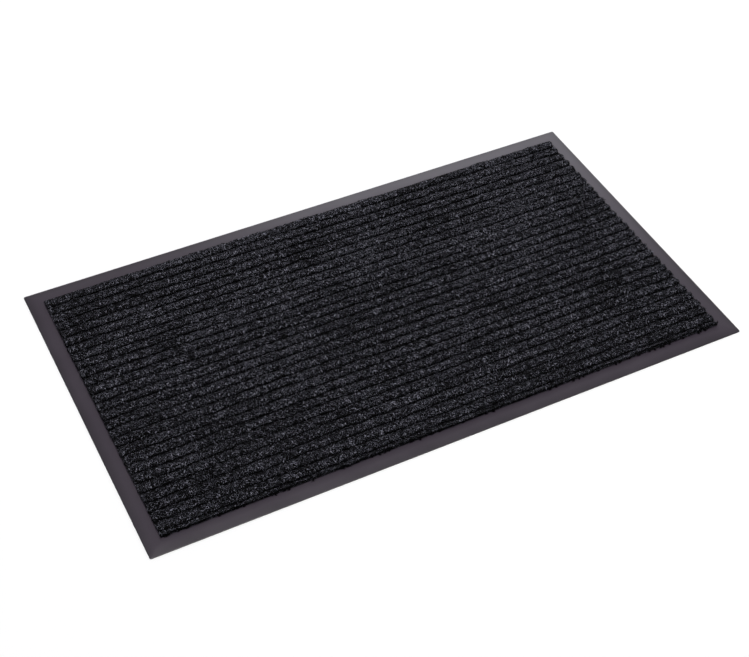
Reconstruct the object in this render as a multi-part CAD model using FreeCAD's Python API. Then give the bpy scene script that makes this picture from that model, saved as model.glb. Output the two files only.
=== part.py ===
"""Ribbed entrance mat: a PVC backing sheet with a bevelled border, and a needle-punched carpet bonded into it.

Row frame: millimetres, origin at the centre of the underside, +X along the mat's long side and its ribs,
+Y across the ribs towards the far long side, +Z up. The mat lies flat on the plane Z = 0.
"""
import FreeCAD, Part
import math
import os

V = FreeCAD.Vector

# Driving dimensions.
MAT_LENGTH = 762.0          # X, 30 inches
MAT_WIDTH = 431.8           # Y, 17 inches
BORDER_WIDTH = 20.0         # from the mat's edge to the carpet's edge, the same on all four sides
CORNER_RADIUS = 2.0         # plan radius of the sheet's four corners

RIM_THICKNESS = 1.0         # border thickness at its outer edge
LIP_THICKNESS = 2.4         # border thickness beside the carpet
FLOOR_THICKNESS = 1.6       # sheet thickness under the carpet
RECESS_GAP = 0.4            # clearance round the carpet inside the border's lip

FILM_THICKNESS = 0.3        # hot-melt film that holds the carpet in the sheet
WEB_THICKNESS = 2.1         # flat felt that carries the ribs

RIB_PITCH = 14.3            # rib to rib, across the mat
RIB_WIDTH = 12.9            # at the rib's foot
RIB_HEIGHT = 4.0            # above the ground web
RIB_FOOT_HEIGHT = 0.6       # upright part of a rib's side, below its shoulder
SHOULDER_RADIUS = 3.2       # round between a rib's side and its crown
FAR_MARGIN = 1.2            # from the carpet's far edge to the line where the far rib's pitch begins

# Sizes that follow from them.
CARPET_LENGTH = MAT_LENGTH - 2 * BORDER_WIDTH
CARPET_WIDTH = MAT_WIDTH - 2 * BORDER_WIDTH
WEB_BOTTOM = FLOOR_THICKNESS + FILM_THICKNESS
RIB_BOTTOM = WEB_BOTTOM + WEB_THICKNESS
FULL_RIBS = math.floor((CARPET_WIDTH - FAR_MARGIN) / RIB_PITCH)

OUT = "parts"


def centred_box(length, width, bottom, height):
    """A box centred on the Z axis, standing on the plane Z = bottom."""
    return Part.makeBox(length, width, height, V(-length / 2, -width / 2, bottom))


def rectangle(length, width, z):
    """A closed wire, centred on the Z axis, in the plane Z = z."""
    x, y = length / 2, width / 2
    return Part.makePolygon([V(-x, -y, z), V(x, -y, z), V(x, y, z), V(-x, y, z), V(-x, -y, z)])


def rounded_plate():
    """The sheet's whole outline with its small corner radii, thicker than the sheet."""
    plate = centred_box(MAT_LENGTH, MAT_WIDTH, 0, 2 * LIP_THICKNESS)
    upright = [e for e in plate.Edges if abs(e.tangentAt(e.FirstParameter).z) > 0.99]
    return plate.makeFillet(CORNER_RADIUS, upright)


def backing_sheet():
    """One moulded PVC sheet: a flat floor under the carpet and a border that slopes down to a thin rim."""
    recess_length = CARPET_LENGTH + 2 * RECESS_GAP
    recess_width = CARPET_WIDTH + 2 * RECESS_GAP
    base = centred_box(MAT_LENGTH, MAT_WIDTH, 0, RIM_THICKNESS)
    bevel = Part.makeLoft(
        [
            rectangle(MAT_LENGTH, MAT_WIDTH, RIM_THICKNESS),
            rectangle(recess_length, recess_width, LIP_THICKNESS),
        ],
        True,
        True,
    )
    recess = centred_box(recess_length, recess_width, FLOOR_THICKNESS, LIP_THICKNESS)
    return base.fuse(bevel).cut(recess).common(rounded_plate()).removeSplitter()


def bonding_film():
    return centred_box(CARPET_LENGTH, CARPET_WIDTH, FLOOR_THICKNESS, FILM_THICKNESS)


def carpet_ground_web():
    return centred_box(CARPET_LENGTH, CARPET_WIDTH, WEB_BOTTOM, WEB_THICKNESS)


def rib_section(centre_y):
    """A rib's arched cross-section, as a face in the plane of the carpet's left end."""
    x = -CARPET_LENGTH / 2

    def point(y, z):
        return V(x, centre_y + y, RIB_BOTTOM + z)

    half = RIB_WIDTH / 2
    shoulder_y = half - SHOULDER_RADIUS
    shoulder_z = RIB_FOOT_HEIGHT + SHOULDER_RADIUS
    diagonal = SHOULDER_RADIUS * math.sin(math.radians(45))
    mid_y, mid_z = shoulder_y + diagonal, RIB_FOOT_HEIGHT + diagonal
    foot = [point(-half, RIB_FOOT_HEIGHT), point(-half, 0), point(half, 0), point(half, RIB_FOOT_HEIGHT)]
    near_shoulder = Part.Arc(foot[0], point(-mid_y, mid_z), point(-shoulder_y, shoulder_z))
    crown = Part.Arc(point(-shoulder_y, shoulder_z), point(0, RIB_HEIGHT), point(shoulder_y, shoulder_z))
    far_shoulder = Part.Arc(point(shoulder_y, shoulder_z), point(mid_y, mid_z), foot[3])
    sides = [Part.LineSegment(a, b) for a, b in zip(foot, foot[1:])]
    curves = [*sides, far_shoulder, crown, near_shoulder]
    return Part.Face(Part.Wire(Part.__sortEdges__([c.toShape() for c in curves])))


def rib(centre_y):
    return rib_section(centre_y).extrude(V(CARPET_LENGTH, 0, 0))


def rib_centres():
    """Rib centres from the near side. The far edge is cut in a groove, and the near one through a rib."""
    far_line = CARPET_WIDTH / 2 - FAR_MARGIN
    return [far_line - (i + 0.5) * RIB_PITCH for i in range(FULL_RIBS, -1, -1)]


def ribs():
    """All the ribs, trimmed to the carpet: only the nearest one is narrowed by the cut."""
    carpet = centred_box(CARPET_LENGTH, CARPET_WIDTH, RIB_BOTTOM, RIB_HEIGHT)
    return [rib(y).common(carpet) if i == 0 else rib(y) for i, y in enumerate(rib_centres())]


def save(name, shape):
    solids = shape.Solids
    if len(solids) != 1 or not solids[0].isValid():
        raise ValueError(f"{name} is not one valid solid")
    solids[0].exportStep(os.path.join(OUT, f"{name}.step"))
    box = solids[0].BoundBox
    print(f"{name}: {box.XLength:.1f} x {box.YLength:.1f} x {box.ZLength:.2f} mm, top at {box.ZMax:.2f}")


os.makedirs(OUT, exist_ok=True)
save("backing_sheet", backing_sheet())
save("bonding_film", bonding_film())
save("carpet_ground_web", carpet_ground_web())
for number, shape in enumerate(ribs(), start=1):
    save(f"rib_{number:02d}", shape)
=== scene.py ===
"""Ribbed door mat: a charcoal needle-punched carpet bonded into a black PVC sheet with a bevelled border.

The mat lies flat on the floor. X runs along its long side and its ribs, Y across them, Z up.
Shapes are worked out in millimetres from the CAD frame, and become metres when a mesh is made.
"""
import math

import bpy
import numpy as np
from mathutils import Matrix, Vector

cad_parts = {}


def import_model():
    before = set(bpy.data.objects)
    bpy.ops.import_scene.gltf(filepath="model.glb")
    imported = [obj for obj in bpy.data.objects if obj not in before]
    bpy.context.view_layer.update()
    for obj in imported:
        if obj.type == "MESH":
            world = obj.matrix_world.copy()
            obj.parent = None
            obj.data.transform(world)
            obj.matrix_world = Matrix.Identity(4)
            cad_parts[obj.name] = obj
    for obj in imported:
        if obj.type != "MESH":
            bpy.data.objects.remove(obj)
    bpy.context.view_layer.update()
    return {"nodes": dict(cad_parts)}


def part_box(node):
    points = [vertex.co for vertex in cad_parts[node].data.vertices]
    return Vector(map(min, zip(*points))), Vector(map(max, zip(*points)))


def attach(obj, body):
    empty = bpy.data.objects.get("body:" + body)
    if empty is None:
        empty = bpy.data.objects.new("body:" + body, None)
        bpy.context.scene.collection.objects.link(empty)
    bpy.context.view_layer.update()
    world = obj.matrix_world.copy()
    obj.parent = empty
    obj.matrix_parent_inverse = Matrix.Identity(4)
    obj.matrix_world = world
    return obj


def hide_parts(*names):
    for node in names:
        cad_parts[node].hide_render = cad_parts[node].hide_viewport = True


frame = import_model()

MM = 0.001
SEED = 17
BODY = "root"


def box_in_mm(node):
    """The low and high corners of a CAD node."""
    return [np.array(corner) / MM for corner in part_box(node)]


SHEET_LOW, SHEET_HIGH = box_in_mm("backing_sheet")
WEB_LOW, WEB_HIGH = box_in_mm("carpet_ground_web")
RIB_NODES = sorted(name for name in frame["nodes"] if name.startswith("rib_"))
RIB_BOXES = [box_in_mm(name) for name in RIB_NODES]
RIB_WIDTH = max(high[1] - low[1] for low, high in RIB_BOXES)
RIB_HEIGHT = max(high[2] for low, high in RIB_BOXES) - WEB_HIGH[2]

# Lengths are in millimetres here. Tones run from 0, nearly black, to 1, pale grey.

# The two lattices that make up the noise, each by the cosine and sine of its turn.
LATTICE_SIZE = 256
FIRST_TURN = (0.86, 0.51)
SECOND_TURN = (0.5, 0.87)
SECOND_SHIFT = (31.4, 7.7)
SECOND_SEED = 500
NOISE_GAIN = 1.45

# The course of the ribs: how far they stray or swell, and over which lengths along and across the mat.
DRIFT, DRIFT_CELL = 1.3, (230.0, 120.0)         # all the ribs together, from straight lines
WANDER, WANDER_LENGTH = 0.85, 15.0              # each rib by itself
SPREAD, SPREAD_CELL = 0.7, (60.0, 40.0)         # the ribs' widths
MERGE_SWELL = 0.8           # how much wider the ribs are where they run together
MERGE_START = -60           # Y from where on they can run together
MERGE_RAMP = 120            # from there to where they can do so fully
MERGE_CELL = (110.0, 60.0)
MERGE_LEVEL, MERGE_CONTRAST = 0.4, 0.9

# A rib's arched section.
ARCH_POINTS = 18            # round a rib from foot to foot, over its crown
ARCH_SAMPLES = 400          # of the arch before it is cut into even steps
ARCH_FULLNESS = 1.75        # exponent of the arch: 2 is an ellipse, and more is fuller at the shoulders
ARCH_TUCK = 0.3             # how far the arch goes on below its widest line, in radians
SIDE_INSET = 0.8            # how far the smooth arch lies inside the CAD rib's sides
CROWN_INSET = 0.9           # how far the smooth arch lies below the CAD rib's crown
BELLY_HEIGHT = 1.3          # where a rib is widest, above the ground web
HEART_HEIGHT = 0.35         # of the point that a rib's ends shrink towards, as a share of the rib's height
FOOT_SINK = 0.4             # how far a rib's foot reaches into the ground web
FOOT_RAMP = 1.5             # from a rib's foot to where its lumps are full
FOOT_PUSH = 0.35            # share of the lumps that is left at the foot

# The lumps of a rib's skin: their size along and round the rib, how far they push it out, and their tone.
COLUMN_STEP = 1.25          # between the skin's points along a rib
OWN_NOISE = 40.0            # between neighbouring ribs in the noise, so that each rib has its own lumps
LAY_CELL, LAY_PUSH, LAY_TONE = (26.0, 14.0), 0.12, 0.02
CLUMP_CELL, CLUMP_PUSH, CLUMP_TONE = (3.4, 3.0), 0.28, 0.05
NUB_CELL, NUB_PUSH, NUB_TONE = (2.0, 1.8), 0.28, 0.05
SWELL_CELL, SWELL_PUSH = (6.5, 7.0), 0.50
JITTER_CELL, JITTER = 1.3, 0.22                 # of the points along the rib

# The ribs' ends.
END_ROUND = 1.6             # length over which they shrink
END_BLUNT = 0.3             # square of their size at the very end, as a share of the rib's section
END_FRAY = 8.0              # length over which they stick out unevenly
FRAY_MEAN = 0.5             # how far they stick out on average
FRAY_CELL = (1.0, 2.6)
FRAY_PLACE = 50             # along the noise for the right ends, and minus this for the left ends

# Locks of fibre and single tips.
LOCKS_PER_RIB = 1900        # on a rib that is COUNTED_GIRTH round, and fewer on a slimmer one
TIPS_PER_RIB = 750          # likewise
COUNTED_GIRTH = 1.3         # over the arch, as a multiple of RIB_WIDTH
STRANDS_PER_LOCK = 2
STRAND_SPACING = 0.40       # between the strands of a lock
STRAND_RADIUS = 0.22
STRAND_VARIES = (0.75, 1.25)            # the radius, from strand to strand
LIFT_VARIES = (0.8, 1.2)                # the rise, from strand to strand
FIBRE_RADIUS = 0.15         # of tips and of the fringe
FIBRE_STEPS = 4             # points along a fibre
RING_SIDES = 3              # of a fibre's section
LOCK_LENGTH = (1.6, 4.6)
LOCK_RISE = (0.25, 1.15)    # over the skin, at the middle of a lock
LOCK_SWAY = 0.7             # how far a lock's middle bends sideways
LOCK_SINK = 0.2             # how deep a lock's ends are in the skin
LOCK_SAG = 0.35             # how closely a lock follows the bend of the section: 0.5 is exactly
LOCK_SCATTER = 42           # of the locks' directions about straight across the rib, in degrees
LAY_TURN = 40               # how far the lay turns the locks, in degrees
MOST_BEND = 0.25            # of a rib's section under a lock, in radians per millimetre
TIP_REACH = (0.6, 2.2)      # along the skin
TIP_RISE = (0.4, 1.25)
TIP_SINK = 0.3              # how deep a tip starts in the skin

# Tones of the pile.
LOCK_TONE = 0.30
TIP_TONE = 0.80
TONE_SPREAD = 0.40          # of the tones of locks and tips
STRAND_TONE_SPREAD = 0.05   # within a lock
END_SHADE = 0.28            # painted shade: how much darker a lock's ends, sunk in the skin, are than its middle
ROOT_SHADE = 0.15           # painted shade: how much darker a tip is where it starts in the skin
# Painted shade: the pile is coloured darker deep down between the ribs, where shade falls in the grooves.
LIT_DEPTH = 0.4             # from the ribs' tops to where the painted shade of the grooves starts
PAINTED_DEPTH_SHADE = 0.85          # how much darker the painted shade makes the pile one rib's height below there
OPEN_SHADE = 1.1            # multiplies that where the ribs stand apart
MERGED_RELIEF = 0.45        # comes off that multiple where they run together
DEPTH_CURVE = 1.6           # exponent of the painted shade with depth
DEEPEST = 1.2               # in rib heights: the painted shade gets no darker below that
PILE_LEVEL, FELT_LEVEL = 0.22, 0.1      # middle tones of the fibres drawn on the ribs' skin and on the felt

# The ground web's felt: its grid, and how uneven its top and its tone are.
WEB_COLUMNS, WEB_ROWS = 182, 100
WEB_CELL, WEB_BUMPS = 4.0, 0.12
WEB_DROP = 0.1              # from the CAD web's top to the felt's
WEB_TONE_CELL, WEB_TONE_SPREAD = 3.0, 0.1

# Loose fibres along the carpet's cut edges.
FRINGE_FIBRES = 6000
FRINGE_BELOW, FRINGE_ABOVE = 1.2, 0.6   # from the web's top to where the lowest and the highest start
FRINGE_ROOT = 0.3           # how far inside the edge they start
FRINGE_REACH, FRINGE_VARIES = 0.4, 1.8  # the shortest reach, and what the longest has on top
FRINGE_BETA = (1.2, 2.4)    # shape of the draw between a short reach and a long one
FRINGE_SLANT = 1.2          # sideways, at most
FRINGE_RISE = (-0.4, 0.9)
FRINGE_DROOP = 1.1
FRINGE_LOWEST = 2.55        # height of a fibre's middle that lies on the sheet's lip
# The fringe's fibres are dark: partly their own black fibre, partly painted shade for the dark line along the
# carpet's edges.
FRINGE_TONE, FRINGE_TONE_SPREAD = 0.05, 0.16
TUFTED_SHARE = 0.4          # of the fringe's fibres, those that belong to a tuft
NEAR_TUFTS = 70             # tufts that hang out over the near border
TUFT_REACH = (0.8, 4.2)
TUFT_VARIES = (0.4, 1.0)    # the reach, from fibre to fibre
TUFT_LEAN = 1.8             # sideways, at most
TUFT_WIDTH = 0.8            # spread of the fibres' places
TUFT_MARGIN = 3             # from the carpet's corners to the outermost tufts

# Border section of the PVC sheet: height at each distance in from the mat's edge.
RIM_PROFILE = ((0.0, 0.80), (0.15, 0.95), (0.5, 1.05), (1.2, 1.13))
LIP_PROFILE = ((18.9, 2.38), (19.2, 2.38), (19.45, 2.28), (19.59, 2.05))
SLOPE_INSETS = np.linspace(2.4, 17.9, 9)
SLOPE_CROWN = 1.7           # exponent of the slope from rim to lip: 1 is flat, and more is crowned
RECESS_INSET = 19.6         # of the side of the recess in which the carpet lies
FILM_THICKNESS = 0.3
CORNER_RADIUS = 2.0         # in plan
SHEET_COLUMNS, SHEET_ROWS = 150, 84     # even grid lines between the borders
WAVE, WAVE_CELL = 0.05, 40.0            # unevenness of the border
WAVE_FROM, WAVE_TO = 3.0, 19.5          # insets from where on it is full, and where it ends
EDGE_WIDTH, EDGE_LIFT = 0.1, 0.05       # the sheet's lower edge, and its height off the floor
PALE_INSET = 14.0           # inset from where on the border is at its palest

# UV layout of the pile and the felt. The bottom strip is a palette of tones from dark to pale. The rest holds
# a rib's skin, cut into lengths that lie one above another, or the felt's flat grid.
PALETTE_HEIGHT = 0.05
SKIN_ROWS = 5

# Fibres drawn in the material between the strands: bundles of them, and single ones, by length and width.
BUNDLE_TURNS = (65, -50, 95, 32)        # of the bundles' directions, in degrees
BUNDLE_SIZE, BUNDLE_CONTRAST = (2.8, 0.85), 6.0
FIBRE_SIZE, FIBRE_CONTRAST = (4.0, 0.24), 3.2
STREAK_DISTORTION = 0.6
BEND_CELL, BEND_PUSH = 8.0, 6.0         # of the noise that bends them
TANGLE_MEAN = 5.27                      # what bundles and fibres come to together on average

# Colours.
PILE_STOPS = (
    (0.0, (0.0002, 0.0002, 0.0003)),
    (0.2, (0.0005, 0.0005, 0.0007)),
    (0.4, (0.0018, 0.0018, 0.0026)),
    (0.6, (0.0074, 0.0073, 0.0100)),
    (0.8, (0.039, 0.038, 0.050)),
    (1.0, (0.28, 0.28, 0.34)),
)
GRAIN_SHARE = 0.35          # of the PVC's fine noise beside its broad one
GRAIN_OFFSET = 0.3          # taken off their sum
SHADE_OFFSET = 0.1          # taken off once more for the PVC's colour
PVC_STOPS = ((0.0, (0.014, 0.010, 0.0155)), (1.0, (0.033, 0.0245, 0.036)))
PVC_ROUGHNESS_STOPS = ((0.0, 0.33), (0.7, 0.42))
FILM_STOPS = ((0.3, 0.05), (0.7, 0.10))
FLOOR_STOPS = ((0.0, 0.90), (1.0, 0.92))
STUDIO_STOPS = ((0.0, 0.85), (0.12, 0.80), (0.45, 0.42), (0.72, 0.26), (1.0, 0.08))     # up from the horizon


# ---------------------------------------------------------------- noise

def lattice_noise(x, y, seed):
    """Smooth noise from 0 to 1 between random values at the whole numbers."""
    size = LATTICE_SIZE
    lattice = np.random.default_rng(SEED * 1000 + seed).random((size, size))
    left, low = np.floor(x).astype(int), np.floor(y).astype(int)
    u, v = x - left, y - low
    u, v = u * u * (3 - 2 * u), v * v * (3 - 2 * v)
    left, right = left % size, (left + 1) % size
    low, high = low % size, (low + 1) % size
    near = lattice[left, low] * (1 - u) + lattice[right, low] * u
    far = lattice[left, high] * (1 - u) + lattice[right, high] * u
    return near * (1 - v) + far * v


def signed_noise(x, y, cell, seed):
    """Noise from -1 to 1 with blobs about one cell across; cell is one size, or one each for x and y.

    It adds two lattices turned against each other, so that no rows show.
    """
    cell_x, cell_y = cell if isinstance(cell, tuple) else (cell, cell)
    x, y = np.asarray(x, float) / cell_x, np.asarray(y, float) / cell_y
    cos, sin = FIRST_TURN
    first = lattice_noise(cos * x + sin * y, cos * y - sin * x, seed)
    cos, sin = SECOND_TURN
    shift_x, shift_y = SECOND_SHIFT
    turned_x, turned_y = cos * x - sin * y + shift_x, cos * y + sin * x + shift_y
    second = lattice_noise(turned_x, turned_y, seed + SECOND_SEED)
    return np.clip(NOISE_GAIN * (first + second - 1), -1, 1)


# ---------------------------------------------------------------- meshes

def unit(vectors):
    """Vectors scaled to length one."""
    return vectors / (np.linalg.norm(vectors, axis=-1, keepdims=True) + 1e-9)


class Shape:
    """Points in millimetres, each with a tone, and faces with a UV per corner, added up into one mesh."""

    def __init__(self):
        self.points, self.tones, self.skins, self.faces, self.corners = [], [], [], [], []
        self.count = 0

    def add(self, points, tones, faces, corners, skin=1.0):
        """faces and corners are lists of arrays: (faces, 3 or 4) indices and (faces, 3 or 4, 2) UVs."""
        self.points.append(points)
        self.tones.append(np.broadcast_to(tones, len(points)))
        self.skins.append(np.full(len(points), skin))
        self.faces += [f + self.count for f in faces]
        self.corners += corners
        self.count += len(points)

    def piece(self, name, material, replaced):
        """A smooth-shaded object that stands for the named CAD nodes."""
        mesh = bpy.data.meshes.new(name)
        points = np.concatenate(self.points) * MM
        loops = np.concatenate([f.ravel() for f in self.faces])
        sides = np.concatenate([np.full(len(f), f.shape[1]) for f in self.faces])
        mesh.vertices.add(len(points))
        mesh.vertices.foreach_set("co", points.astype(np.float32).ravel())
        mesh.loops.add(len(loops))
        mesh.loops.foreach_set("vertex_index", loops.astype(np.int32))
        mesh.polygons.add(len(sides))
        mesh.polygons.foreach_set("loop_start", (np.cumsum(sides) - sides).astype(np.int32))
        mesh.polygons.foreach_set("use_smooth", np.ones(len(sides), bool))
        uv = np.concatenate([c.reshape(-1, 2) for c in self.corners])
        mesh.uv_layers.new(name="OFBake").data.foreach_set("uv", uv.astype(np.float32).ravel())
        for label, values in (("tone", self.tones), ("skin", self.skins)):
            layer = mesh.attributes.new(label, "FLOAT", "POINT")
            layer.data.foreach_set("value", np.concatenate(values).astype(np.float32))
        mesh.update(calc_edges=True)
        mesh.validate()
        mesh.materials.append(material)
        made = bpy.data.objects.new(name, mesh)
        bpy.context.scene.collection.objects.link(made)
        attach(made, BODY)
        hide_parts(*replaced)
        return made


def grid_faces(rows, columns, wrap=False):
    """Quads of a grid of points stored row after row; wrap joins its last column to its first."""
    across = columns if wrap else columns - 1
    i, j = np.meshgrid(np.arange(rows - 1), np.arange(across), indexing="ij")
    i, j = i.ravel(), j.ravel()
    k = (j + 1) % columns
    return np.stack([i * columns + j, i * columns + k, (i + 1) * columns + k, (i + 1) * columns + j], 1)


def slab_grid(x, y, top, bottom):
    """A closed slab over the grid lines x and y, between the heights top and bottom.

    Its points, its faces as upper, lower and side quads, and UVs for the points of its top or its bottom.
    """
    columns, rows = len(x), len(y)
    gx, gy = np.meshgrid(x, y, indexing="ij")
    upper = np.stack([gx, gy, top], -1).reshape(-1, 3)
    lower = np.stack([gx, gy, bottom], -1).reshape(-1, 3)
    face = grid_faces(columns, rows)
    over, under = face[:, ::-1], face + columns * rows
    index = np.arange(columns * rows).reshape(columns, rows)
    rim = np.concatenate([index[:-1, 0], index[-1, :-1], index[:0:-1, -1], index[0, :0:-1]])
    after = np.roll(rim, -1)
    wall = np.stack([after, rim, rim + columns * rows, after + columns * rows], 1)
    flat = np.stack([(gx - x[0]) / (x[-1] - x[0]), (gy - y[0]) / (y[-1] - y[0])], -1).reshape(-1, 2)
    return np.concatenate([upper, lower]), [over, under, wall], flat


# ---------------------------------------------------------------- fibres

def add_fibres(shape, lines, radii, tones):
    """Adds one closed tube per fibre: lines is (fibres, points, 3), radii and tones are (fibres, points)."""
    fibres, steps = radii.shape
    along = unit(np.gradient(lines, axis=1))
    helper = np.where(np.abs(along[..., 2:]) < 0.8, [0.0, 0.0, 1.0], [1.0, 0.0, 0.0])
    across = unit(np.cross(along, helper))
    upward = np.cross(across, along)
    turn = 2 * np.pi * np.arange(RING_SIDES) / RING_SIDES
    ring = across[:, :, None] * np.cos(turn)[:, None] + upward[:, :, None] * np.sin(turn)[:, None]
    points = (lines[:, :, None] + ring * radii[:, :, None, None]).reshape(-1, 3)
    per_fibre = steps * RING_SIDES
    first = np.arange(fibres)[:, None, None] * per_fibre
    sides = (grid_faces(steps, RING_SIDES, wrap=True)[None] + first).reshape(-1, 4)
    ends = np.array([[2, 1, 0], [per_fibre - 3, per_fibre - 2, per_fibre - 1]])
    ends = (ends[None] + first).reshape(-1, 3)
    tones = np.clip(tones, 0.005, 0.995)
    v = PALETTE_HEIGHT * (0.2 + 0.6 * np.arange(RING_SIDES) / (RING_SIDES - 1))
    uv = np.stack(np.broadcast_arrays(tones[..., None], v), -1).reshape(-1, 2)
    tones = np.repeat(tones.ravel(), RING_SIDES)
    shape.add(points, tones, [sides, ends], [uv[sides], uv[ends]], skin=0.0)


def merging(x, y):
    """How far the ribs run together, from 0 to 1: not at all near, and in patches towards the far side."""
    far = np.clip((y - MERGE_START) / MERGE_RAMP, 0, 1)
    patches = MERGE_LEVEL + MERGE_CONTRAST * signed_noise(x, y, MERGE_CELL, seed=11)
    return far * np.clip(patches, 0, 1)


def painted_groove_shade(points):
    """Painted shade: how much darker the pile is coloured deep down in the grooves, and less so where the
    ribs run together.
    """
    lit = WEB_HIGH[2] + RIB_HEIGHT - LIT_DEPTH
    depth = np.clip((lit - points[..., 2]) / RIB_HEIGHT, 0, DEEPEST)
    openness = OPEN_SHADE - MERGED_RELIEF * merging(points[..., 0], points[..., 1])
    return PAINTED_DEPTH_SHADE * openness * depth**DEPTH_CURVE


def fibre_tones(spot, middle, draw):
    """Melange of fibres about a middle tone, with painted shade that makes them darker deep in the pile."""
    return draw.normal(middle, TONE_SPREAD, len(spot)) - painted_groove_shade(spot)


# ---------------------------------------------------------------- ribs

def arch_section(low_y, centre):
    """Evenly spaced points round a rib from its near foot to its far foot, and outward normals, as (y, z).

    The third result is each point's distance round the rib. low_y is where the carpet's near edge cuts a rib.
    """
    half = RIB_WIDTH / 2 - SIDE_INSET
    crown = RIB_HEIGHT - CROWN_INSET - BELLY_HEIGHT
    angle = np.linspace(math.pi + ARCH_TUCK, -ARCH_TUCK, ARCH_SAMPLES)
    power = 2 / ARCH_FULLNESS
    y = centre + half * np.sign(np.cos(angle)) * np.abs(np.cos(angle)) ** power
    over = crown * np.clip(np.sin(angle), 0, 1) ** power
    under = BELLY_HEIGHT * np.clip(np.sin(angle), -1, 0) / math.sin(ARCH_TUCK)
    z = BELLY_HEIGHT + over + under
    y = np.maximum(y, low_y)
    step = np.hypot(np.diff(y), np.diff(z))
    length = np.concatenate([[0], np.cumsum(step)])
    girth = np.linspace(0, length[-1], ARCH_POINTS)
    y, z = np.interp(girth, length, y), np.interp(girth, length, z)
    tangent = unit(np.stack([np.gradient(y), np.gradient(z)], 1))
    normal = np.stack([-tangent[:, 1], tangent[:, 0]], 1)
    return np.stack([y, z], 1), normal, girth


def fray_ends(points, x, place, heart_y):
    """Places the skin's points along the rib. Its ends shrink to a round and stick out unevenly."""
    end = x[-1, 0] - np.abs(x)
    shrink = np.sqrt(np.clip(1 - (1 - np.clip(end / END_ROUND, 0, 1)) ** 2, END_BLUNT, 1))
    ragged = FRAY_MEAN + signed_noise(np.sign(x) * FRAY_PLACE, place, FRAY_CELL, seed=7)
    ragged = ragged * np.clip(1 - end / END_FRAY, 0, 1)
    jitter = JITTER * signed_noise(x, place, JITTER_CELL, seed=8)
    heart_z = WEB_HIGH[2] + HEART_HEIGHT * RIB_HEIGHT
    points[..., 0] = x + jitter + np.sign(x) * ragged
    points[..., 1] = heart_y + (points[..., 1] - heart_y) * shrink
    points[..., 2] = heart_z + (points[..., 2] - heart_z) * shrink


def rib_skin(number, low, high):
    """The skin of a rib, as skin_spots takes it, and the tones of its points.

    Its points are (columns, ARCH_POINTS, 3).
    """
    centre = high[1] - RIB_WIDTH / 2
    section, normal, girth = arch_section(low[1], centre)
    columns = int(round((high[0] - low[0]) / COLUMN_STEP)) + 1
    x = np.linspace(low[0], high[0], columns)[:, None]
    own = OWN_NOISE * number
    place = girth[None, :] + own
    lay = signed_noise(x, place, LAY_CELL, seed=1)
    clump = 1 - 2 * np.abs(signed_noise(x, place, CLUMP_CELL, seed=2))
    nub = signed_noise(x, place, NUB_CELL, seed=3)
    push = LAY_PUSH * lay + CLUMP_PUSH * clump + NUB_PUSH * nub
    foot = np.clip(np.minimum(girth, girth[-1] - girth) / FOOT_RAMP, 0, 1)[None, :]
    wander = WANDER * signed_noise(x, own, (WANDER_LENGTH, 1.0), seed=5)
    wander = wander + DRIFT * signed_noise(x, centre, DRIFT_CELL, seed=9)
    swell = SWELL_PUSH * signed_noise(x, place, SWELL_CELL, seed=6)
    spread = SPREAD * signed_noise(x, centre, SPREAD_CELL, seed=10)
    spread = spread + MERGE_SWELL * merging(x, centre)
    outward = push * (FOOT_PUSH + (1 - FOOT_PUSH) * foot) + swell + spread
    points = np.empty((columns, ARCH_POINTS, 3))
    points[..., 1] = section[:, 0] + wander + outward * normal[:, 0]
    points[..., 2] = WEB_HIGH[2] + section[:, 1] + outward * foot * normal[:, 1]
    fray_ends(points, x, place, (low[1] + high[1]) / 2)
    # The skin's tones: the lay's, clumps' and nubs' own tones, less the painted shade deep in the grooves.
    tones = LAY_TONE * lay + CLUMP_TONE * clump + NUB_TONE * nub - painted_groove_shade(points)
    return (points, normal, girth, lay), tones


def add_skin(shape, points, tones):
    """Adds the skin as one closed tube whose underside is sunk in the ground web."""
    columns, arch = points.shape[:2]
    share = np.array([0.0, 0.5, 1.0])[None, :, None]
    under = points[:, -1:] * (1 - share) + points[:, :1] * share
    under[..., 2] = WEB_HIGH[2] - FOOT_SINK
    ring = np.concatenate([points, under], 1)
    around = ring.shape[1]
    ring_tones = np.concatenate([tones, np.zeros((columns, around - arch))], 1)
    faces = grid_faces(columns, around, wrap=True)
    column, spot = faces[:, 0] // around, faces[:, 0] % around
    per_row = math.ceil((columns - 1) / SKIN_ROWS)
    row, place = column // per_row, column % per_row
    height = (1 - PALETTE_HEIGHT) / SKIN_ROWS
    u = np.stack([place, place, place + 1, place + 1], 1) / per_row
    v = np.stack([spot, spot + 1, spot + 1, spot], 1) / around
    v = PALETTE_HEIGHT + height * (row[:, None] + 0.02 + 0.96 * v)
    uv = np.stack([u, v], -1)
    # Each end is closed with a fan about a hub.
    first_hub = columns * around
    j = np.arange(around)
    k = (j + 1) % around
    fans = [np.stack([k, j, np.full(around, first_hub)], 1)]
    last = (columns - 1) * around
    fans.append(np.stack([np.full(around, first_hub + 1), last + j, last + k], 1))
    fan_uv = np.full((around, 3, 2), [0.01, PALETTE_HEIGHT / 2])
    hubs = np.stack([ring[0].mean(0), ring[-1].mean(0)])
    all_points = np.concatenate([ring.reshape(-1, 3), hubs])
    all_tones = np.concatenate([ring_tones.ravel(), [0.0, 0.0]])
    shape.add(all_points, all_tones, [faces, *fans], [uv, fan_uv, fan_uv])


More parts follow.
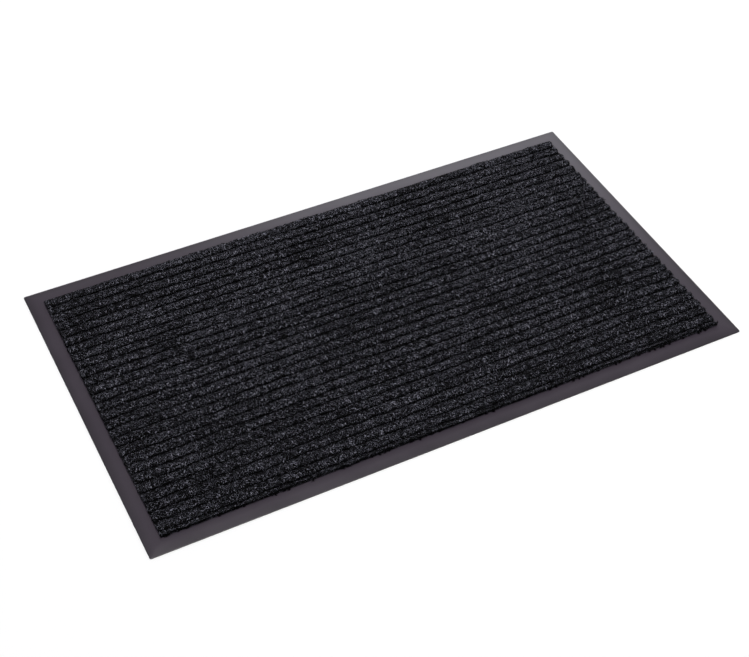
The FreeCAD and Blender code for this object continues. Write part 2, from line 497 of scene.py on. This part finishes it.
def skin_spots(points, normal, girth, lay, count, draw):
    """Random places on a skin: their points, their normals, and the bend of the section and the lay there."""
    columns = len(points)
    i = draw.integers(0, columns - 1, count)
    j = draw.integers(0, ARCH_POINTS - 1, count)
    a, b = draw.random((2, count, 1))
    near = points[i, j] * (1 - a) + points[i + 1, j] * a
    far = points[i, j + 1] * (1 - a) + points[i + 1, j + 1] * a
    spot = near * (1 - b) + far * b
    out = unit(normal[j] * (1 - b) + normal[j + 1] * b)
    out = np.concatenate([np.zeros((count, 1)), out], 1)
    bend = np.arccos(np.clip((normal[:-1] * normal[1:]).sum(1), -1, 1)) / np.diff(girth)
    bend = np.minimum(bend, MOST_BEND)
    return spot, out, bend[j], lay[i, j]


def skin_way(out, angle):
    """Directions in the skin at an angle to the rib: a quarter turn is straight across it."""
    x_way = np.array([1.0, 0.0, 0.0])
    round_way = np.cross(out, x_way)
    return np.cos(angle)[:, None] * x_way + np.sin(angle)[:, None] * round_way


def add_locks(shape, skin, count, draw):
    """Locks of matted fibre that leave the skin, arch over it and go back into it, mostly across the rib."""
    spot, out, bend, lay = skin_spots(*skin, count, draw)
    angle = np.radians(90 + LOCK_SCATTER * draw.standard_normal(count) + LAY_TURN * lay)
    length = draw.uniform(*LOCK_LENGTH, count)
    rise = draw.uniform(*LOCK_RISE, count)
    sway = draw.uniform(-LOCK_SWAY, LOCK_SWAY, count)
    tones = fibre_tones(spot, LOCK_TONE, draw)
    along = skin_way(out, angle)
    side = np.cross(out, along)
    t = np.linspace(0, 1, FIBRE_STEPS)[None, :]
    to_ends = (2 * t - 1) ** 2
    fanning = 0.7 + 0.5 * t
    taper = 0.7 + 0.3 * np.sin(np.pi * t)
    run = length[:, None] * (t - 0.5)
    sag = LOCK_SAG * bend[:, None] * (run * np.sin(angle)[:, None]) ** 2
    for strand in range(STRANDS_PER_LOCK):
        beside = STRAND_SPACING * (strand - (STRANDS_PER_LOCK - 1) / 2)
        lift = rise * draw.uniform(*LIFT_VARIES, count)
        height = lift[:, None] * (1 - to_ends) - LOCK_SINK - sag
        swing = sway[:, None] * np.sin(np.pi * t) + beside * fanning
        lines = (
            spot[:, None]
            + run[..., None] * along[:, None]
            + height[..., None] * out[:, None]
            + swing[..., None] * side[:, None]
        )
        radii = (STRAND_RADIUS * draw.uniform(*STRAND_VARIES, count))[:, None] * taper
        own_tones = tones + STRAND_TONE_SPREAD * draw.standard_normal(count)
        # Painted shade at the lock's ends, where they sink into the skin.
        add_fibres(shape, lines, radii, own_tones[:, None] - END_SHADE * to_ends)


def add_tips(shape, skin, count, draw):
    """Fibres with a free end that stand out of the pile and droop."""
    spot, out, *_ = skin_spots(*skin, count, draw)
    along = skin_way(out, draw.uniform(0, 2 * np.pi, count))
    reach = draw.uniform(*TIP_REACH, count)[:, None]
    rise = draw.uniform(*TIP_RISE, count)[:, None]
    t = np.linspace(0, 1, FIBRE_STEPS)[None, :]
    curl = t**1.6
    stand = 1.5 * t - 0.6 * t**2
    taper = 1 - 0.5 * t**2
    lines = (
        spot[:, None]
        + (reach * curl)[..., None] * along[:, None]
        + (rise * stand - TIP_SINK)[..., None] * out[:, None]
    )
    radii = FIBRE_RADIUS * taper * np.ones((count, 1))
    # The tip's tone: its melange, less the painted shade deep in the pile and at its root.
    tones = fibre_tones(spot, TIP_TONE, draw)[:, None] - ROOT_SHADE * (1 - t)
    add_fibres(shape, lines, radii, tones)


def rib(number, node, low, high, material):
    """One rib's skin with its locks and tips, as one piece."""
    draw = np.random.default_rng(SEED * 100 + number)
    skin, tones = rib_skin(number, low, high)
    points, _, girth, _ = skin
    shape = Shape()
    add_skin(shape, points, tones)
    share = girth[-1] / RIB_WIDTH / COUNTED_GIRTH
    add_locks(shape, skin, int(LOCKS_PER_RIB * share), draw)
    add_tips(shape, skin, int(TIPS_PER_RIB * share), draw)
    return shape.piece(f"{node}_pile", material, [node])


# ---------------------------------------------------------------- ground web

def ground_web(material):
    """The felt that carries the ribs, with fibres that stray out of its cut edges."""
    x = np.linspace(WEB_LOW[0], WEB_HIGH[0], WEB_COLUMNS)
    y = np.linspace(WEB_LOW[1], WEB_HIGH[1], WEB_ROWS)
    gx, gy = np.meshgrid(x, y, indexing="ij")
    top = WEB_HIGH[2] + WEB_BUMPS * signed_noise(gx, gy, WEB_CELL, seed=20) - WEB_DROP
    bottom = np.full_like(top, WEB_LOW[2])
    points, faces, flat = slab_grid(x, y, top, bottom)
    tones = WEB_TONE_SPREAD * signed_noise(points[:, 0], points[:, 1], WEB_TONE_CELL, seed=21)
    room = np.stack([flat[:, 0], PALETTE_HEIGHT + (1 - PALETTE_HEIGHT) * flat[:, 1]], 1)
    both = np.concatenate([room, room])
    shape = Shape()
    shape.add(points, tones, faces, [both[f] for f in faces])
    add_fringe(shape)
    return shape.piece("carpet_ground_felt", material, ["carpet_ground_web"])


def near_tufts(draw, long_side):
    """Which fringe fibres belong to a tuft, and each fibre's place along the near edge, lean and reach."""
    tufted = draw.random(FRINGE_FIBRES) < TUFTED_SHARE
    tuft = draw.integers(0, NEAR_TUFTS, FRINGE_FIBRES)
    place = draw.uniform(TUFT_MARGIN, long_side - TUFT_MARGIN, NEAR_TUFTS)[tuft]
    place = place + draw.normal(0, TUFT_WIDTH, FRINGE_FIBRES)
    lean = draw.uniform(-TUFT_LEAN, TUFT_LEAN, NEAR_TUFTS)[tuft]
    reach = draw.uniform(*TUFT_REACH, NEAR_TUFTS)[tuft]
    return tufted, np.clip(place, 0, long_side), lean, reach


def edge_places(place, long_side, short_side):
    """Points at distances round the carpet from its near left corner, and the ways along and out there."""
    half_x, half_y = WEB_HIGH[0], WEB_HIGH[1]
    starts = np.array([0, long_side, long_side + short_side, 2 * long_side + short_side])
    side = np.searchsorted(starts, place, side="right") - 1
    corner = np.array([[-half_x, -half_y], [half_x, -half_y], [half_x, half_y], [-half_x, half_y]])
    way = np.array([[1, 0], [0, 1], [-1, 0], [0, -1]])[side]
    out = np.array([[0, -1], [1, 0], [0, 1], [-1, 0]])[side]
    return corner[side] + (place - starts[side])[:, None] * way, way, out


def add_fringe(shape):
    """Loose fibres along the carpet's cut edges that curl out over the border, and tufts at the near one."""
    draw = np.random.default_rng(SEED + 5)
    long_side, short_side = 2 * WEB_HIGH[0], 2 * WEB_HIGH[1]
    place = draw.uniform(0, 2 * (long_side + short_side), FRINGE_FIBRES)
    tufted, tuft_place, tuft_lean, tuft_reach = near_tufts(draw, long_side)
    place = np.where(tufted, tuft_place, place)
    root, way, out = edge_places(place, long_side, short_side)
    height = draw.uniform(WEB_HIGH[2] - FRINGE_BELOW, WEB_HIGH[2] + FRINGE_ABOVE, FRINGE_FIBRES)
    reach = FRINGE_REACH + FRINGE_VARIES * draw.beta(*FRINGE_BETA, FRINGE_FIBRES)
    reach = np.where(tufted, tuft_reach * draw.uniform(*TUFT_VARIES, FRINGE_FIBRES), reach)
    slant = draw.uniform(-FRINGE_SLANT, FRINGE_SLANT, FRINGE_FIBRES) + np.where(tufted, tuft_lean, 0)
    rise = draw.uniform(*FRINGE_RISE, FRINGE_FIBRES)
    t = np.linspace(0, 1, FIBRE_STEPS)[None, :]
    lines = np.empty((FRINGE_FIBRES, FIBRE_STEPS, 3))
    outward = (reach[:, None] * t - FRINGE_ROOT)[..., None] * out[:, None]
    sideways = (slant[:, None] * t**1.5)[..., None] * way[:, None]
    lines[..., :2] = root[:, None] + outward + sideways
    drooping = height[:, None] + rise[:, None] * t - FRINGE_DROOP * t**2
    lines[..., 2] = np.maximum(drooping, FRINGE_LOWEST)
    taper = 1 - 0.6 * t**2
    radii = FIBRE_RADIUS * 0.9 * taper * np.ones((FRINGE_FIBRES, 1))
    # Painted shade: each fibre is darker at its root by the carpet's edge and paler towards its free end.
    tones = draw.normal(FRINGE_TONE, FRINGE_TONE_SPREAD, (FRINGE_FIBRES, 1)) + 0.1 * t
    add_fibres(shape, lines, radii, tones)


# ---------------------------------------------------------------- backing sheet

def border_profile():
    """Distances in from the sheet's edge, and the height of its top at each."""
    rim_in, rim_z = RIM_PROFILE[-1]
    lip_in, lip_z = LIP_PROFILE[0]
    rise = 1 - (1 - (SLOPE_INSETS - rim_in) / (lip_in - rim_in)) ** SLOPE_CROWN
    slope = zip(SLOPE_INSETS, rim_z + (lip_z - rim_z) * rise)
    recess = (RECESS_INSET, WEB_LOW[2] - FILM_THICKNESS)
    return np.array([*RIM_PROFILE, *slope, *LIP_PROFILE, recess]).T


def sheet_lines(low, high, insets, count):
    """Grid lines across the sheet: those of the border's section at both sides, and even ones between."""
    inner = np.linspace(low + RECESS_INSET, high - RECESS_INSET, count)[1:-1]
    return np.concatenate([low + insets, inner, high - insets[::-1]])


def round_corners(points, radius):
    """Pulls the points in each corner's square onto arcs about the corner's centre."""
    centre = np.array([SHEET_HIGH[0], SHEET_HIGH[1]]) - radius
    beyond = np.abs(points) - centre
    inside = (beyond > 0).all(1)
    reach = beyond.max(1)
    length = np.hypot(beyond[:, 0], beyond[:, 1]) + 1e-9
    pulled = (centre + beyond * (reach / length)[:, None]) * np.sign(points)
    return np.where(inside[:, None], pulled, points)


def backing_sheet(material):
    """The PVC sheet: a thin rounded rim, a crowned border, a raised lip and the floor under the carpet."""
    insets, heights = border_profile()
    x = sheet_lines(SHEET_LOW[0], SHEET_HIGH[0], insets, SHEET_COLUMNS)
    y = sheet_lines(SHEET_LOW[1], SHEET_HIGH[1], insets, SHEET_ROWS)
    gx, gy = np.meshgrid(x, y, indexing="ij")
    inset = np.minimum(SHEET_HIGH[0] - np.abs(gx), SHEET_HIGH[1] - np.abs(gy))
    on_border = np.clip(inset / WAVE_FROM, 0, 1) * (inset < WAVE_TO)
    wave = on_border * WAVE * signed_noise(gx, gy, WAVE_CELL, seed=30)
    top = np.interp(inset, insets, heights) + wave
    bottom = np.where(inset < EDGE_WIDTH, EDGE_LIFT, 0.0)
    points, faces, flat = slab_grid(x, y, top, bottom)
    points[:, :2] = round_corners(points[:, :2], CORNER_RADIUS)
    tones = np.clip(inset / PALE_INSET, 0, 1).ravel()
    both = np.concatenate([flat, flat])
    shape = Shape()
    shape.add(points, np.concatenate([tones, tones]), faces, [both[f] for f in faces])
    return shape.piece("pvc_backing_sheet", material, ["backing_sheet"])


# ---------------------------------------------------------------- materials

def node_material(name):
    """A new material with its nodes, its links and its shader."""
    material = bpy.data.materials.new(name)
    material.use_nodes = True
    nodes = material.node_tree.nodes
    return material, nodes, material.node_tree.links, nodes["Principled BSDF"]


def attribute(nodes, name):
    """A value that the mesh keeps at its points."""
    made = nodes.new("ShaderNodeAttribute")
    made.attribute_name = name
    return made.outputs["Fac"]


def object_noise(nodes, links, scale, detail=2.0, roughness=0.5):
    """Noise fixed to the object, scale in blobs per metre."""
    place = nodes.new("ShaderNodeTexCoord")
    noise = nodes.new("ShaderNodeTexNoise")
    noise.inputs["Scale"].default_value = scale
    noise.inputs["Detail"].default_value = detail
    noise.inputs["Roughness"].default_value = roughness
    links.new(place.outputs["Object"], noise.inputs["Vector"])
    return noise.outputs["Fac"]


def ramp(nodes, links, value, stops):
    """Colour from a value, through (place, grey level or colour) stops."""
    made = nodes.new("ShaderNodeValToRGB")
    elements = made.color_ramp.elements
    while len(elements) < len(stops):
        elements.new(0.5)
    for element, (place, colour) in zip(elements, stops):
        element.position = place
        element.color = (*colour, 1.0) if isinstance(colour, tuple) else (colour, colour, colour, 1.0)
    links.new(value, made.inputs["Fac"])
    return made.outputs["Color"]


def combine(nodes, links, kind, *given):
    """A Math node of two or three inputs, each a socket or a number."""
    made = nodes.new("ShaderNodeMath")
    made.operation = kind
    for socket, value in zip(made.inputs, given):
        if isinstance(value, (int, float)):
            socket.default_value = value
        else:
            links.new(value, socket)
    return made.outputs["Value"]


def bent_place(nodes, links, cell, push):
    """Object coordinates pushed about by slow noise, so that streaks bend. Both sizes are in millimetres."""
    place = nodes.new("ShaderNodeTexCoord")
    slow = nodes.new("ShaderNodeTexNoise")
    slow.inputs["Scale"].default_value = 1 / (cell * MM)
    slow.inputs["Detail"].default_value = 0.0
    links.new(place.outputs["Object"], slow.inputs["Vector"])
    moved = nodes.new("ShaderNodeVectorMath")
    moved.operation = "MULTIPLY_ADD"
    moved.inputs[1].default_value = (push * MM, push * MM, push * MM)
    links.new(slow.outputs["Color"], moved.inputs[0])
    links.new(place.outputs["Object"], moved.inputs[2])
    return moved.outputs["Vector"]


def streaks(nodes, links, place, turn, size):
    """Noise drawn out into streaks at an angle to the ribs. size is a length and a width in millimetres."""
    length, width = size
    turned = nodes.new("ShaderNodeMapping")
    turned.inputs["Rotation"].default_value[2] = math.radians(turn)
    stretched = nodes.new("ShaderNodeVectorMath")
    stretched.operation = "MULTIPLY"
    stretched.inputs[1].default_value = (1 / (length * MM), 1 / (width * MM), 1 / (width * MM))
    noise = nodes.new("ShaderNodeTexNoise")
    noise.inputs["Scale"].default_value = 1.0
    noise.inputs["Detail"].default_value = 1.0
    noise.inputs["Distortion"].default_value = STREAK_DISTORTION
    links.new(place, turned.inputs["Vector"])
    links.new(turned.outputs["Vector"], stretched.inputs[0])
    links.new(stretched.outputs["Vector"], noise.inputs["Vector"])
    return noise.outputs["Fac"]


def tangle(nodes, links):
    """Bundles of fibres that cross each other in several directions, the palest on top."""
    place = bent_place(nodes, links, BEND_CELL, BEND_PUSH)
    top = None
    for turn in BUNDLE_TURNS:
        bundle = streaks(nodes, links, place, turn, BUNDLE_SIZE)
        bundle = combine(nodes, links, "MULTIPLY", bundle, BUNDLE_CONTRAST)
        fibre = streaks(nodes, links, place, turn, FIBRE_SIZE)
        fibre = combine(nodes, links, "MULTIPLY", fibre, FIBRE_CONTRAST)
        both = combine(nodes, links, "ADD", bundle, fibre)
        top = combine(nodes, links, "MAXIMUM", top, both) if top else both
    return combine(nodes, links, "SUBTRACT", top, TANGLE_MEAN)


def melange(nodes, links, level):
    """Fibre colour: a strand's own tone, or on the skin between strands a tangle of fibres about a level; the
    tones kept at the points also carry painted shade deep in the pile.
    """
    woven = combine(nodes, links, "ADD", tangle(nodes, links), level)
    on_skin = combine(nodes, links, "MULTIPLY", woven, attribute(nodes, "skin"))
    tone = combine(nodes, links, "ADD", on_skin, attribute(nodes, "tone"))
    return ramp(nodes, links, tone, PILE_STOPS)


def pile_material():
    """Melange polypropylene fibre."""
    material, nodes, links, shader = node_material("pile_fibre")
    links.new(melange(nodes, links, PILE_LEVEL), shader.inputs["Base Color"])
    shader.inputs["Roughness"].default_value = 0.6
    shader.inputs["Specular IOR Level"].default_value = 0.04
    return material


def felt_material():
    """The carpet's flat ground: matted black fibre."""
    material, nodes, links, shader = node_material("ground_felt")
    links.new(melange(nodes, links, FELT_LEVEL), shader.inputs["Base Color"])
    shader.inputs["Roughness"].default_value = 0.8
    shader.inputs["Specular IOR Level"].default_value = 0.1
    return material


def pvc_material():
    """Black PVC with a faint purple cast, paler towards the carpet, with a fine grain and uneven gloss."""
    material, nodes, links, shader = node_material("backing_pvc")
    broad = object_noise(nodes, links, scale=14.0, detail=3.0)
    fine = object_noise(nodes, links, scale=900.0, detail=4.0, roughness=0.6)
    mixed = combine(nodes, links, "MULTIPLY_ADD", fine, GRAIN_SHARE, broad)
    mixed = combine(nodes, links, "SUBTRACT", mixed, GRAIN_OFFSET)
    shade = combine(nodes, links, "ADD", attribute(nodes, "tone"), mixed)
    shade = combine(nodes, links, "SUBTRACT", shade, SHADE_OFFSET)
    links.new(ramp(nodes, links, shade, PVC_STOPS), shader.inputs["Base Color"])
    links.new(ramp(nodes, links, mixed, PVC_ROUGHNESS_STOPS), shader.inputs["Roughness"])
    shader.inputs["Specular IOR Level"].default_value = 0.5
    bump = nodes.new("ShaderNodeBump")
    bump.inputs["Strength"].default_value = 0.25
    bump.inputs["Distance"].default_value = 0.00008
    grain = object_noise(nodes, links, scale=1600.0, detail=3.0, roughness=0.6)
    links.new(grain, bump.inputs["Height"])
    links.new(bump.outputs["Normal"], shader.inputs["Normal"])
    return material


def film_material():
    """Hot-melt film: dull dark grey with cloudy patches."""
    material, nodes, links, shader = node_material("bonding_hot_melt")
    cloudy = object_noise(nodes, links, scale=120.0, detail=3.0)
    links.new(ramp(nodes, links, cloudy, FILM_STOPS), shader.inputs["Base Color"])
    shader.inputs["Roughness"].default_value = 0.5
    return material


# ---------------------------------------------------------------- stage

def floor():
    """A pale floor, a hair below the mat so that their faces don't coincide."""
    material, nodes, links, shader = node_material("studio_floor")
    faint = object_noise(nodes, links, scale=1.5)
    links.new(ramp(nodes, links, faint, FLOOR_STOPS), shader.inputs["Base Color"])
    shader.inputs["Roughness"].default_value = 0.9
    shader.inputs["Specular IOR Level"].default_value = 0.0
    bpy.ops.mesh.primitive_plane_add(size=60, location=(0, 0, -0.00001))
    plane = bpy.context.object
    plane.name = "studio_floor"
    plane.data.materials.append(material)


def world():
    """A pale studio that is dimmer overhead than near the floor."""
    made = bpy.data.worlds.new("studio")
    bpy.context.scene.world = made
    made.use_nodes = True
    nodes, links = made.node_tree.nodes, made.node_tree.links
    place = nodes.new("ShaderNodeTexCoord")
    split = nodes.new("ShaderNodeSeparateXYZ")
    links.new(place.outputs["Generated"], split.inputs["Vector"])
    shade = ramp(nodes, links, split.outputs["Z"], STUDIO_STOPS)
    links.new(shade, nodes["Background"].inputs["Color"])
    nodes["Background"].inputs["Strength"].default_value = 1.0


def aimed(name, light, place, target):
    """An object for a light that stands at a place and faces a target."""
    made = bpy.data.objects.new(name, light)
    made.location = place
    made.rotation_euler = (Vector(target) - Vector(place)).to_track_quat("-Z", "Y").to_euler()
    bpy.context.scene.collection.objects.link(made)
    return made


def lights():
    """A broad soft sun nearly overhead, and a softbox over the far right corner."""
    sun = bpy.data.lights.new("overhead", "SUN")
    sun.energy = 2.4
    sun.angle = math.radians(36)
    aimed("overhead", sun, (-0.1, -0.15, 2.4), (0, 0, 0))
    panel = bpy.data.lights.new("softbox", "AREA")
    panel.shape = "RECTANGLE"
    panel.size = 1.3
    panel.size_y = 0.35
    panel.energy = 7.4
    panel.color = (0.92, 0.93, 1.0)
    softbox = aimed("softbox", panel, (1.05, 1.58, 1.05), (0.1, 0.1, 0))
    softbox.visible_camera = False


def camera():
    """The camera stands at the near left and looks down at the mat, rolled by about two degrees."""
    azimuth, elevation, roll = (math.radians(angle) for angle in (-28.28, 45.78, 1.80))
    distance = 1.7655
    target = Vector((-0.0171, -0.0176, 0.0))
    level = math.cos(elevation)
    back = Vector((math.sin(azimuth) * level, -math.cos(azimuth) * level, math.sin(elevation)))
    right = Vector((math.cos(azimuth), math.sin(azimuth), 0))
    up = back.cross(right)
    turned_right = right * math.cos(roll) + up * math.sin(roll)
    turned_up = up * math.cos(roll) - right * math.sin(roll)
    data = bpy.data.cameras.new("camera")
    data.sensor_width = 36.0
    data.lens = 70.16
    made = bpy.data.objects.new("camera", data)
    bpy.context.scene.collection.objects.link(made)
    turn = Matrix((turned_right, turned_up, back)).transposed().to_4x4()
    made.matrix_world = Matrix.Translation(target + back * distance) @ turn
    bpy.context.scene.camera = made


# ---------------------------------------------------------------- assembly

def cad_piece(node, material):
    """A CAD node that stays as it is and gets its real material."""
    mesh = frame["nodes"][node].data
    mesh.materials.clear()
    mesh.materials.append(material)


bpy.context.scene.view_settings.view_transform = "Standard"
backing_sheet(pvc_material())
cad_piece("bonding_film", film_material())
felt = ground_web(felt_material())
fibre = pile_material()
piles = [
    rib(number, node, low, high, fibre)
    for number, (node, (low, high)) in enumerate(zip(RIB_NODES, RIB_BOXES))
]
floor()
world()
lights()
camera()
